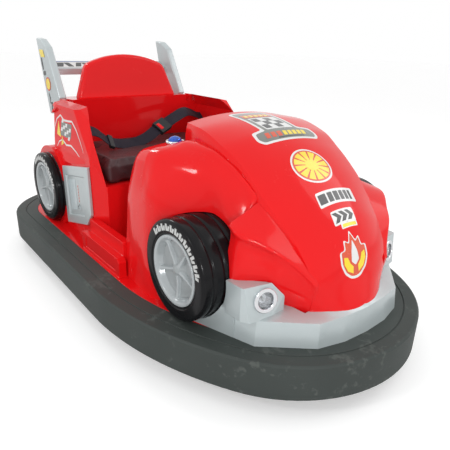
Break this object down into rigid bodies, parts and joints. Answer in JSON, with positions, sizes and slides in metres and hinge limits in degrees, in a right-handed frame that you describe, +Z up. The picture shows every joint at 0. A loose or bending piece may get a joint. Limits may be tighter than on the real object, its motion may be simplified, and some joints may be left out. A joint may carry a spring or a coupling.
{
  "type": "battery bumper car",
  "caption": "Battery bumper car with a racing body in a rubber bumper ring, bench seat, steered drive wheel and rear swivel casters.",
  "frame": {"origin": "on the floor below the middle of the bumper ring", "axes": "+X forward, +Y to the rider's left, +Z up"},
  "size_m": [1.9, 1.072, 0.92],
  "materials": {
    "red_shell": "red gelcoat, high gloss",
    "silver_shell": "silver metallic paint",
    "bumper_rubber": "matt, scuffed",
    "black_gloss": "glossy black paint",
    "rim_grey": "light grey paint",
    "chrome": "polished",
    "lamp_clear": "clear lens",
    "lamp_blue": "blue jewel lens",
    "seat_vinyl": "dark brown vinyl, fine grain",
    "webbing": "woven webbing",
    "black_plastic": "satin",
    "frame_steel": "black paint",
    "zinc_steel": "zinc plated",
    "wheel_tread": "solid rubber",
    "caster_tread": "grey rubber",
    "motor_grey": "grey paint"
  },
  "bodies": {
    "chassis": {"bumper_ring": "bumper_rubber", "bumper_hoop": "frame_steel", "chassis_frame": "frame_steel", "drive_bridge": "frame_steel", "steering_gearbox": "motor_grey", "dash_panel": "black_plastic", "lower_tub": "red_shell", "front_body": "red_shell", "rear_body": "red_shell", "seat_back": "red_shell", "front_apron": "silver_shell", "fin_left": "silver_shell", "fin_right": "silver_shell", "spoiler_bar": "silver_shell", "side_vent_left": "silver_shell", "side_vent_right": "silver_shell", "headlamp_bezel_left": "chrome", "headlamp_bezel_right": "chrome", "headlamp_lens_left": "lamp_clear", "headlamp_lens_right": "lamp_clear", "jewel_bezel_left": "chrome", "jewel_bezel_right": "chrome", "jewel_dome_left": "lamp_blue", "jewel_dome_right": "lamp_blue", "mock_tyre_front_left": "black_gloss", "mock_tyre_front_right": "black_gloss", "mock_tyre_rear_left": "black_gloss", "mock_tyre_rear_right": "black_gloss", "mock_rim_front_left": "rim_grey", "mock_rim_front_right": "rim_grey", "mock_rim_rear_left": "rim_grey", "mock_rim_rear_right": "rim_grey", "seat_cushion": "seat_vinyl", "battery_pack": "black_plastic", "pedal": "black_plastic", "belt_left": "webbing", "belt_right": "webbing", "belt_buckle": "black_plastic", "belt_adjuster": "black_plastic"},
    "steering": {"steering_wheel": "black_plastic", "steering_shaft": "zinc_steel"},
    "fork": {"drive_fork": "zinc_steel", "drive_motor": "motor_grey"},
    "front_wheel": {"drive_tyre": "wheel_tread", "drive_hub": "motor_grey"},
    "swivel_left": {"caster_fork_left": "zinc_steel"},
    "swivel_right": {"caster_fork_right": "zinc_steel"},
    "roller_left": {"caster_wheel_left": "caster_tread"},
    "roller_right": {"caster_wheel_right": "caster_tread"}
  },
  "joints": [
    {"name": "steer_wheel", "type": "hinge", "parent": "chassis", "child": "steering", "pos_m": [0.13, 0, 0.555], "axis": [-0.8829, 0, 0.4695], "continuous": true},
    {"name": "steer_fork", "type": "hinge", "parent": "chassis", "child": "fork", "pos_m": [0.52, 0, 0.11], "axis": [0, 0, 1], "continuous": true},
    {"name": "front_spin", "type": "hinge", "parent": "fork", "child": "front_wheel", "pos_m": [0.52, 0, 0.11], "axis": [0, 1, 0], "continuous": true},
    {"name": "swivel_left", "type": "hinge", "parent": "chassis", "child": "swivel_left", "pos_m": [-0.48, 0.3, 0.12], "axis": [0, 0, 1], "continuous": true},
    {"name": "swivel_right", "type": "hinge", "parent": "chassis", "child": "swivel_right", "pos_m": [-0.48, -0.3, 0.12], "axis": [0, 0, 1], "continuous": true},
    {"name": "roll_left", "type": "hinge", "parent": "swivel_left", "child": "roller_left", "pos_m": [-0.51, 0.3, 0.05], "axis": [0, 1, 0], "continuous": true},
    {"name": "roll_right", "type": "hinge", "parent": "swivel_right", "child": "roller_right", "pos_m": [-0.51, -0.3, 0.05], "axis": [0, 1, 0], "continuous": true}
  ],
  "couplings": [
    {"joint": "steer_fork", "follows": "steer_wheel", "ratio": 1}
  ]
}
